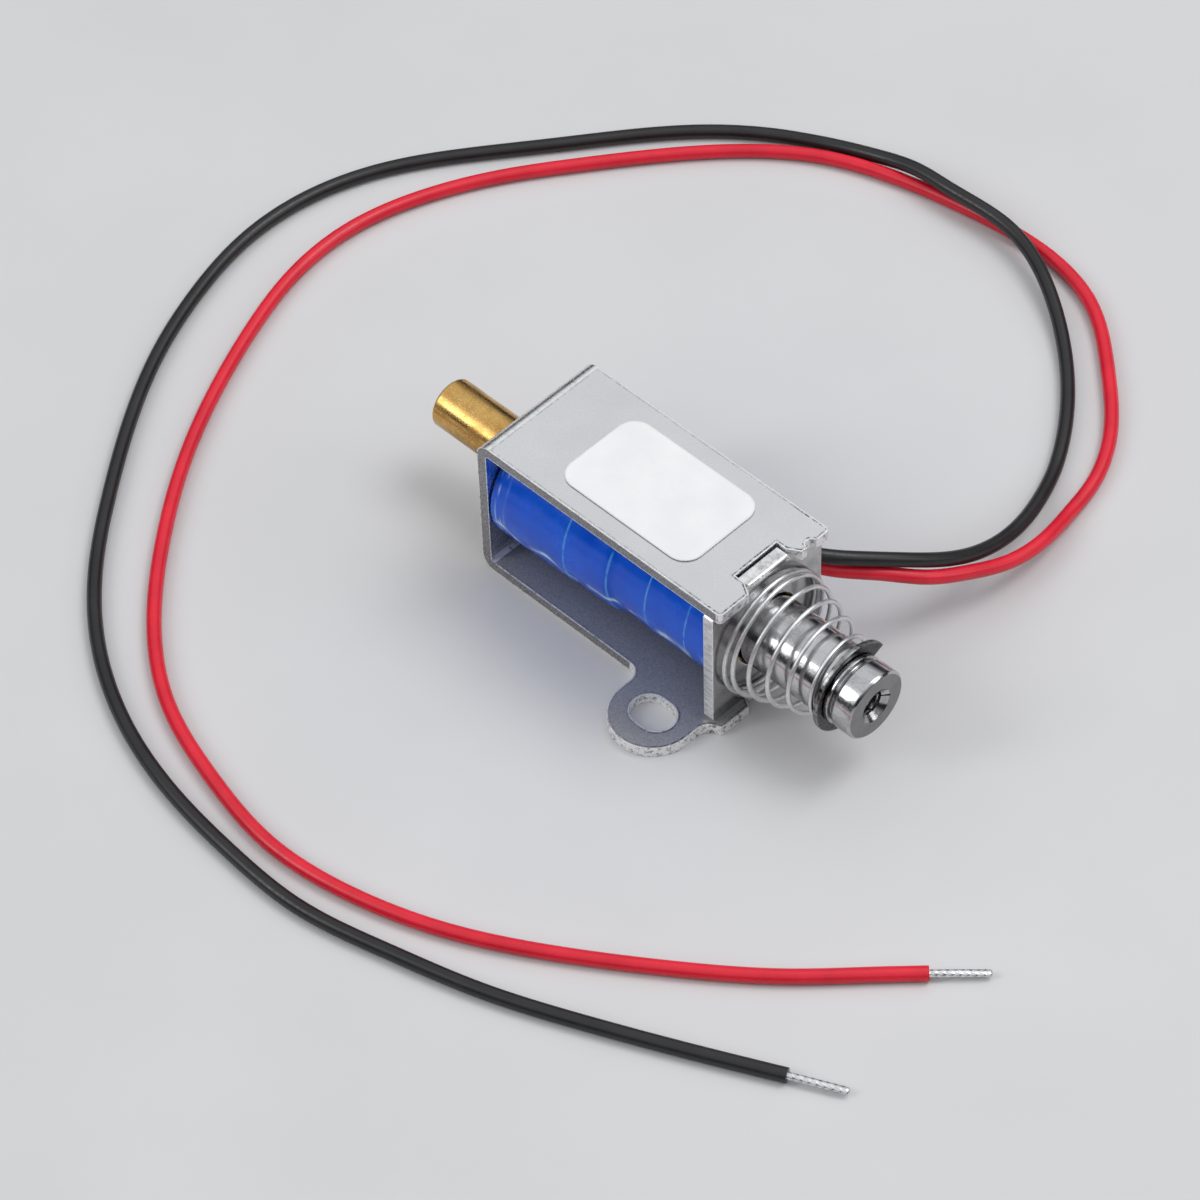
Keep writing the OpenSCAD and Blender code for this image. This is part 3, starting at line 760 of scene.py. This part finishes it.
@dataclass(frozen=True)
class Lead:
    """One free lead: its route in millimetres, its finish and the CAD nodes it stands for."""

    name: str
    node: str
    tip_node: str
    finish: Finish
    route: tuple[Point, ...]
    size: LeadSize = LeadSize()

    def line(self) -> list[Vector]:
        """Centre line in metres, never lower than the lead's own radius."""
        points = smooth_line([tuple(c * MM for c in p) for p in self.route], self.size.samples)
        for p in points:
            p.z = max(p.z, self.size.outer_r)
        return points

    def build(self, body: str) -> None:
        """Makes the insulation and the bare strands."""
        line = self.line()
        curve = bpy.data.curves.new(self.name, "CURVE")
        curve.dimensions = "3D"
        curve.bevel_depth = self.size.outer_r
        curve.bevel_resolution = 5
        curve.use_fill_caps = True
        spline = curve.splines.new("POLY")
        spline.points.add(len(line) - 1)
        for point, place in zip(spline.points, line):
            point.co = (*place, 1.0)
        spline.use_smooth = True
        made = bpy.data.objects.new(self.name, curve)
        bpy.context.scene.collection.objects.link(made)
        curve.materials.append(self.finish.material())
        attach(made, body)
        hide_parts(self.node)
        length = sum((b - a).length for a, b in zip(line, line[1:]))
        strands = self._strands(body, line)
        LOG.info("%s: %.1f mm", self.name, length / MM)

    def _strands(self, body: str, line: list[Vector]) -> bpy.types.Object:
        """Twisted tinned strands, pressed a little flat towards their end."""
        shape = Shape(f"{self.name}_strands")
        way = (line[-1] - line[-2]).normalized()
        side = way.cross(Vector((0, 0, 1))).normalized()
        up = side.cross(way)
        rows, steps, sides = [], 44, 42
        for i in range(steps + 1):
            t = i / steps
            twist = 2 * math.pi * 1.15 * t
            flat = 1 - 0.35 * t
            wide = 1 + 0.10 * t
            end = 1 - 0.5 * max(0.0, (t - 0.97) / 0.03)
            ring = []
            for k in range(sides):
                a = 2 * math.pi * k / sides
                r = self.size.core_r * end * (0.88 + 0.12 * abs(math.cos(3.5 * (a + twist))))
                drop = 0.12 * MM * t * t
                ring.append(
                    line[-1]
                    + way * self.size.tip_length * t
                    + side * r * wide * math.cos(a)
                    + up * (r * flat * math.sin(a) - drop)
                )
            rows.append(shape.ring(ring))
        for a, b in zip(rows, rows[1:]):
            shape.bridge(a, b)
        shape.cap(rows[0], flip=True)
        shape.cap(rows[-1])
        return shape.finish(TIN, body, [self.tip_node], sharp=60.0)


# Height in millimetres of a lead's middle where it lies on the floor
H = 0.7
RED_LEAD = Lead(
    "red_wire", "red_lead", "red_lead_tip", RED,
    (
        (9.5, 6.72, 9.03), (10.5, 6.97, 9.03), (13.2, 8.4, 8.6), (16.5, 12, 7.5), (19, 15.5, 6),
        (20.5, 19.5, 4.5), (21.5, 24, 3), (21.5, 29, 2), (20.5, 33.5, 1), (19.5, 38, H),
        (16.5, 44, H), (11, 50, H), (4, 55.5, H), (-4, 57.5, H), (-12, 57, H),
        (-20, 55.5, H), (-28, 52.5, H), (-34, 48, H), (-39.5, 42, H), (-44.5, 35.5, H),
        (-49, 29, H), (-52.5, 22, H), (-54.5, 14, H), (-54, 6, H), (-51.5, -2, H),
        (-48, -10, H), (-43.5, -18, H), (-38, -25.5, H), (-31, -33, H), (-23, -38.5, H),
        (-14, -41.5, H), (-5, -43, H), (4, -42, H), (13, -39, H), (22, -34, H),
        (30, -28.5, H), (37.5, -22.5, H), (43, -17, H), (46, -14, H),
    ),
)
BLACK_LEAD = Lead(
    "black_wire", "black_lead", "black_lead_tip", BLACK,
    (
        (9.5, 6.18, 10.95), (10.5, 6.43, 10.95), (13.2, 8, 10.6), (15.5, 11, 9.5),
        (17.5, 14.5, 8), (19, 18.5, 6), (19.5, 23, 4), (19, 28, 2.5), (17.5, 33, 1.4),
        (15.5, 37.5, H), (12, 43, H), (6.5, 49, 0.8), (0.5, 53.5, 1.5), (-7, 56.5, 2.2),
        (-15, 56.5, 2.3), (-19, 56.5, 2.1), (-23, 56, 1.4), (-31, 53, H), (-38, 48, H),
        (-43.5, 42, H), (-48.5, 35.5, H), (-53.5, 29, H), (-58, 22, H), (-60.5, 15, H),
        (-61, 7, H), (-59, -2, H), (-56, -9.5, H), (-51, -18, H), (-45.5, -25.5, H),
        (-40, -32, H), (-33, -38, H), (-24.5, -42.5, H), (-15.5, -45, H), (-6.5, -46, H),
        (2, -46, H), (11, -44, H), (19.5, -41.5, H), (28, -38, H), (36.5, -34, H),
        (44.5, -30, H),
    ),
)


# --------------------------------------------------------------------------- pieces


class Refined:
    """A carried-over part with rolled and rounded edges, which stands for the CAD node."""

    RIM = 0.36 * MM

    def __init__(
        self,
        node: str,
        finish: Finish,
        edge: Edge,
        is_cut: Callable[[Vector, Vector], bool] | None = None,
        roll: float = 0.0,
    ) -> None:
        """Notes what is refined and how.

        Args:
            node: Name of the CAD node.
            finish: Its surface finish.
            edge: How much its edges are rounded.
            is_cut: Tells from a face's normal and middle whether the face was sheared.
            roll: How far the edges are rolled in, in metres.
        """
        self.node = node
        self.finish = finish
        self.edge = edge
        self.is_cut = is_cut
        self.roll = roll

    def build(self, body: str) -> bpy.types.Object:
        """Copies the node's mesh, joins its flat faces and rounds its sharp edges."""
        shape = Shape(f"{self.node}_rounded")
        bm = shape.bm
        bm.from_mesh(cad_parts[self.node].data)
        bmesh.ops.remove_doubles(bm, verts=bm.verts, dist=1e-7)
        bmesh.ops.dissolve_limit(
            bm, angle_limit=math.radians(0.6), verts=bm.verts, edges=bm.edges
        )
        self._rims(bm)
        sharp = [
            e
            for e in bm.edges
            if len(e.link_faces) == 2 and e.calc_face_angle(0.0) > math.radians(32)
        ]
        bmesh.ops.bevel(
            bm,
            geom=sharp,
            offset=self.edge.value,
            offset_type="OFFSET",
            segments=3,
            profile=0.55,
            affect="EDGES",
            clamp_overlap=True,
        )
        if self.is_cut is not None:
            layer = bm.faces.layers.float.new("cut")
            bm.normal_update()
            for face in bm.faces:
                face[layer] = float(self.is_cut(face.normal, face.calc_center_median()))
        made = shape.finish(self.finish, body, [self.node], sharp=50.0)
        even = made.modifiers.new("even_normals", "WEIGHTED_NORMAL")
        even.keep_sharp = True
        return made

    def _rims(self, bm: bmesh.types.BMesh) -> None:
        """Sets a border inside every large flat face, graded from 1 at the edge to 0."""
        layer = bm.verts.layers.float.new("rim")
        bm.normal_update()
        for vert in bm.verts:
            vert[layer] = 1.0
            vert.co -= vert.normal * self.roll
        for region in self._flat_regions(bm):
            bmesh.ops.inset_region(
                bm, faces=region, thickness=self.RIM, use_even_offset=True, use_boundary=True
            )
            for face in region:
                for vert in face.verts:
                    vert[layer] = 0.0

    def _flat_regions(self, bm: bmesh.types.BMesh) -> list[list[bmesh.types.BMFace]]:
        """Groups of joined faces in one plane that are wide enough for a border."""
        left, found = set(bm.faces), []
        while left:
            start = left.pop()
            region, queue = [start], [start]
            while queue:
                for edge in queue.pop().edges:
                    for face in edge.link_faces:
                        if face in left and face.normal.angle(start.normal, 1.0) < 0.01:
                            left.discard(face)
                            region.append(face)
                            queue.append(face)
            area = sum(face.calc_area() for face in region)
            rim = sum(
                edge.calc_length()
                for face in region
                for edge in face.edges
                if not all(other in region for other in edge.link_faces)
            )
            if rim > 0 and 2 * area / rim > 2.4 * self.RIM:
                found.append(region)
        return found


def strap_cut(normal: Vector, middle: Vector) -> bool:
    """Tells whether a face of the strap was sheared, and not one of the sheet's own faces."""
    back_sheet_x, half_width = -10 * MM, 7.05 * MM
    if abs(normal.z) > 0.3:
        return False
    return abs(normal.y) > 0.5 or middle.x > back_sheet_x or abs(middle.y) > half_width


def plate_cut(normal: Vector, middle: Vector) -> bool:
    """Tells whether a face of the front plate was sheared."""
    bore_y, bore_z = 3.8 * MM, 4 * MM
    beyond_bore = abs(middle.y) > bore_y or abs(middle.z - AXIS_Z) > bore_z
    return abs(normal.x) < 0.5 and beyond_bore


class Plunger:
    """The turned plunger, with a real thread in its end."""

    def __init__(self, size: PlungerSize = PlungerSize()) -> None:
        self.size = size

    def build(self, body: str) -> bpy.types.Object:
        """Makes the plunger in place of its CAD node."""
        s = self.size
        bevel, burr, corner = 0.25 * MM, 0.05 * MM, 0.06 * MM
        shape = Shape("plunger_turned")
        outline = rounded(
            [
                (s.spigot_end, 0.0), (s.spigot_end, s.spigot_r), (s.back, s.spigot_r),
                (s.back, s.radius), (s.groove[0], s.radius), (s.groove[0], s.groove_r),
                (s.groove[1], s.groove_r), (s.groove[1], s.radius), (s.line[0], s.radius),
                (s.line[0], s.line_r), (s.line[1], s.line_r), (s.line[1], s.cone_r),
                (s.head_x, s.radius), (s.end - bevel, s.radius),
                (s.end, s.radius - bevel), (s.end, s.sink_r + burr),
                (s.end, s.sink_r),
            ],
            corner,
        )
        sides = 96
        spin(shape, outline, sides)
        rim = list(shape.bm.verts)[-sides:]
        self._thread(shape, rim, sides)
        return shape.finish(NICKEL, body, ["plunger"], sharp=30.0)

    def _thread(self, shape: Shape, rim: list, sides: int) -> None:
        """Countersink, helical thread and drilled bottom, joined to the rim."""
        s = self.size
        per_turn, fade_in, fade_out = 10, 3, 6
        mouth = s.end - (s.sink_r - s.thread_r)
        rows = int(round((mouth - s.thread_back) / s.thread_pitch * per_turn))
        before = rim
        for row in range(rows + 1):
            x = mouth - (mouth - s.thread_back) * row / rows
            ring = []
            for k in range(sides):
                turn = k / sides
                phase = (x / s.thread_pitch + turn) % 1.0
                ridge = 1 - abs(2 * phase - 1)
                fade = min(1.0, row / fade_in, (rows - row) / fade_out)
                r = s.thread_r + s.thread_depth * fade * min(1.0, max(0.0, 1.25 * ridge - 0.1))
                a = 2 * math.pi * turn
                ring.append((x, r * math.cos(a), AXIS_Z + r * math.sin(a)))
            now = shape.ring(ring)
            shape.bridge(before, now)
            before = now
        drill_point = s.thread_back - 0.6 * MM
        shape.fan(before, (drill_point, 0.0, AXIS_Z))


class ReturnSpring:
    """The conical return spring."""

    def __init__(self, size: SpringSize = SpringSize()) -> None:
        self.size = size

    def point(self, turn: float) -> Vector:
        """Place of the wire's middle, turn turns from its large end."""
        s = self.size
        along = s.pitch * turn + s.growth * max(turn - s.closed, 0.0) ** s.opening
        closed = s.pitch * s.closed
        done = max(along - closed, 0.0) / (s.length - closed)
        r = s.big_r + (s.small_r - s.big_r) * done
        a = math.radians(s.start_angle + 360 * turn)
        return Vector((s.start_x + along, r * math.cos(a), AXIS_Z + r * math.sin(a)))

    def build(self, body: str) -> bpy.types.Object:
        """Makes the spring in place of its CAD node."""
        s = self.size
        shape = Shape("return_spring_wire")
        steps = int(s.turns * 72)
        sweep(shape, [self.point(s.turns * k / steps) for k in range(steps + 1)], s.wire_r, 14)
        made = shape.finish(SPRING, body, ["return_spring"], sharp=60.0)
        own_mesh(made)
        return made


class TapedCoil:
    """The blue tape round the coil, with its laps, creases and the rises over the joints."""

    def __init__(self, size: CoilSize = CoilSize()) -> None:
        self.size = size

    def radius(self, x: float, a: float) -> tuple[float, float]:
        """Radius of the tape at a place, and how close that is to a lap's edge.

        Args:
            x: Station along the frame.
            a: Angle round the axis, in radians.

        Returns:
            The radius, and a share from 0 to 1.
        """
        s = self.size
        lean = 0.28 * MM * math.sin(a - 0.6)
        xs = x + lean

        def rise(at: float, width: float = 0.16 * MM) -> float:
            return 0.5 + 0.5 * math.tanh((xs - at) / width)

        slope = s.taper * min(max((x - s.back) / (s.step_x - s.back), 0.0), 1.0)
        r = s.back_r - slope
        r -= s.lap * rise(s.step_x - s.tape_w)
        r -= (s.back_r - s.taper - s.lap - s.front_r) * rise(s.step_x + 0.45 * MM, 0.35 * MM)
        r += 0.5 * s.lap * rise(s.step_x + s.tape_w)
        r += 0.5 * s.lap * rise(s.step_x + 2 * s.tape_w)
        seams = (
            s.step_x - s.tape_w, s.step_x + 0.3 * MM, s.step_x + s.tape_w, s.step_x + 2 * s.tape_w,
        )
        near = max(math.exp(-(((xs - seam) / (0.16 * MM)) ** 2)) for seam in seams)
        for y, z in s.sleeves:
            r = max(r, self._over_sleeve(x, a, y, z))
        return r + self._crease(x, a), near

    def painted_glint(self, x: float, a: float) -> float:
        """Share of painted glint on the film: a pale band along its lower side, widest towards the
        front, and pale streaks near its back end.
        """
        s = self.size
        front = (x - s.back) / (s.front - s.back)
        foot = math.radians(s.foot_angle) + 0.16 * noise.noise(Vector((x / MM * 0.35, 3.0, 0.0)))
        width = 0.035 + 0.10 * max(front - 0.72, 0.0) / 0.28
        band = math.exp(-(((a - foot) / width) ** 2))
        patch = 0.5 + 1.6 * noise.noise(Vector((x / MM * 0.7, a * 2.5, 7.0)))
        streak = abs(noise.noise(Vector((x / MM * 3.2, a * 0.9, 1.0))))
        end = math.exp(-(((x - s.back - 0.9 * MM) / (0.55 * MM)) ** 2))
        return min(1.0, max(0.0, band * patch) + end * max(0.0, 1 - 9 * streak) * 0.8)

    def _over_sleeve(self, x: float, a: float, y: float, z: float) -> float:
        """Radius of the tape where it is drawn over a joint's sleeve."""
        s = self.size
        middle = math.atan2(z - AXIS_Z, y)
        out = math.hypot(y, z - AXIS_Z)
        off = math.remainder(a - middle, 2 * math.pi) * out
        lift = s.sleeve_r**2 - off**2
        if lift <= 0 or not s.sleeve_x[0] < x < s.sleeve_x[1]:
            return 0.0
        return out + math.sqrt(lift)

    def _crease(self, x: float, a: float) -> float:
        """Small folds and hollows of the film."""
        around = Vector((x / MM * 0.45, math.cos(a) * 3.2, math.sin(a) * 3.2))
        broad = noise.noise(around * 0.8)
        fold = noise.noise(Vector((x / MM * 1.1 + 2.2 * math.cos(a * 2), a * 1.4, 4.0)))
        return 0.045 * MM * (broad - 0.6) + 0.03 * MM * (abs(fold) - 0.6)

    def build(self, body: str) -> bpy.types.Object:
        """Makes the tape in place of its CAD node."""
        s = self.size
        shape = Shape("tape_wrapped")
        lap = shape.bm.verts.layers.float.new("lap")
        painted_glint = shape.bm.verts.layers.float.new("painted_glint")
        across, around = 190, 260
        rows = []
        for i in range(across + 1):
            x = s.back + (s.front - s.back) * i / across
            ring = []
            for k in range(around):
                a = 2 * math.pi * k / around
                r, near = self.radius(x, a)
                vert = shape.bm.verts.new((x, r * math.cos(a), AXIS_Z + r * math.sin(a)))
                vert[lap] = near
                vert[painted_glint] = self.painted_glint(x, a)
                ring.append(vert)
            rows.append(ring)
        for a, b in zip(rows, rows[1:]):
            shape.bridge(a, b)
        first, last = (
            shape.ring(
                (x, s.hub_r * math.cos(t), AXIS_Z + s.hub_r * math.sin(t))
                for t in (2 * math.pi * k / around for k in range(around))
            )
            for x in (s.back, s.front)
        )
        shape.bridge(rows[0], first)
        shape.bridge(rows[-1], last)
        shape.bridge(first, last)
        return shape.finish(TAPE, body, ["outer_tape"], sharp=60.0)


# --------------------------------------------------------------------------- studio


class Studio:
    """Camera, pale floor and soft lights."""

    def __init__(self, view: View = View()) -> None:
        self.view = view

    def camera(self) -> None:
        """Stands the camera in its place."""
        v = self.view
        az, el = math.radians(v.azimuth), math.radians(v.elevation)
        back = Vector(
            (math.sin(az) * math.cos(el), -math.cos(az) * math.cos(el), math.sin(el))
        )
        right = Vector((math.cos(az), math.sin(az), 0.0))
        up = back.cross(right)
        turn = Matrix((right, up, back)).transposed().to_4x4()
        data = bpy.data.cameras.new("camera")
        data.lens, data.sensor_width = v.lens, v.sensor
        data.clip_start, data.clip_end = 0.01, 20.0
        made = bpy.data.objects.new("camera", data)
        bpy.context.scene.collection.objects.link(made)
        roll = Matrix.Rotation(math.radians(v.roll), 4, "Z")
        made.matrix_world = Matrix.Translation(v.place) @ turn @ roll
        bpy.context.scene.camera = made

    def floor(self) -> None:
        """Lays a plain flat floor."""
        shape = bmesh.new()
        bmesh.ops.create_grid(shape, x_segments=8, y_segments=8, size=3.0)
        mesh = bpy.data.meshes.new("floor")
        shape.to_mesh(mesh)
        shape.free()
        made = bpy.data.objects.new("floor", mesh)
        bpy.context.scene.collection.objects.link(made)
        mesh.materials.append(FLOOR.material())

    def light(
        self, name: str, place: Point, aim: Point, size: tuple[float, float], watts: float
    ) -> None:
        """Hangs one soft light."""
        data = bpy.data.lights.new(name, "AREA")
        data.shape = "RECTANGLE"
        data.size, data.size_y = size
        data.energy = watts
        made = bpy.data.objects.new(name, data)
        bpy.context.scene.collection.objects.link(made)
        way = Vector(aim) - Vector(place)
        turn = way.to_track_quat("-Z", "Y").to_matrix().to_4x4()
        made.matrix_world = Matrix.Translation(place) @ turn

    def world(self) -> None:
        """Even grey surroundings, darker towards the horizon, for the metal to reflect."""
        world = bpy.data.worlds.new("studio")
        bpy.context.scene.world = world
        world.use_nodes = True
        n = Nodes(world.node_tree)
        height = n.make("ShaderNodeTexCoord", out="Generated")
        z = n.make("ShaderNodeSeparateXYZ", {0: height}, out=2)
        glow = n.mix(z.fit(0.30, 0.62), (0.025, 0.025, 0.03), (0.80, 0.81, 0.83))
        back = n.make("ShaderNodeBackground", {"Color": glow, "Strength": 1.0})
        out = world.node_tree.nodes.new("ShaderNodeOutputWorld")
        world.node_tree.links.new(back.out, out.inputs["Surface"])

    def build(self) -> None:
        """Sets up everything but the object."""
        self.camera()
        self.floor()
        self.world()
        self.light("key", (0.20, 0.36, 0.72), (0.0, 0.0, 0.0), (0.40, 0.40), 2.3)
        self.light("side", (-0.30, -0.50, 0.42), (0.0, 0.0, 0.01), (0.16, 0.36), 1.1)
        self.light("rim", (0.50, 0.35, 0.30), (0.0, 0.0, 0.0), (0.25, 0.20), 0.4)
        bpy.context.scene.view_settings.view_transform = "Standard"


# --------------------------------------------------------------------------- model


class Solenoid:
    """All pieces of the solenoid."""

    FIXED = "stator"
    MOVING = "armature"
    CARRIED: dict[str, Finish] = {
        "fixed_core": NICKEL,
        "damping_washer": RUBBER,
        "guide_sleeve": BRASS,
        "bobbin": NYLON,
        "coil_winding": COPPER,
        "inner_tape": CLEAR_TAPE,
        "red_joint": TIN,
        "black_joint": TIN,
        "red_sleeve": SLEEVING,
        "black_sleeve": SLEEVING,
    }

    def carried(self) -> None:
        """Gives each CAD node that stays its own finish."""
        for node, finish in self.CARRIED.items():
            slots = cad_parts[node].material_slots
            for place in slots:
                place.link = "OBJECT"
                place.material = finish.material()
            if not slots:
                LOG.warning("%s has no material slot", node)

    def leads(self) -> None:
        """Lays both leads."""
        for lead in (RED_LEAD, BLACK_LEAD):
            lead.build(self.FIXED)

    def body_work(self) -> None:
        """Makes the pieces that are dressed over their CAD nodes."""
        Refined("frame_strap", ZINC, Edge.STAMPED, strap_cut, 0.05 * MM).build(self.FIXED)
        Refined("front_plate", PLATE, Edge.STAMPED, plate_cut, 0.03 * MM).build(self.FIXED)
        Refined("label", LABEL, Edge.SHEET).build(self.FIXED)
        for node, finish, edge in (
            ("push_rod", BRASS, Edge.TURNED),
            ("retaining_clip", CLIP, Edge.CLIP),
        ):
            Refined(node, finish, edge).build(self.MOVING)
        TapedCoil().build(self.FIXED)
        ReturnSpring().build(self.FIXED)
        Plunger().build(self.MOVING)


def main() -> None:
    """Builds the scene."""
    logging.basicConfig(level=logging.INFO, format="%(name)s: %(message)s")
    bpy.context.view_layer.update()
    Studio().build()
    model = Solenoid()
    model.leads()
    model.body_work()
    model.carried()


if __name__ == "__main__":
    main()
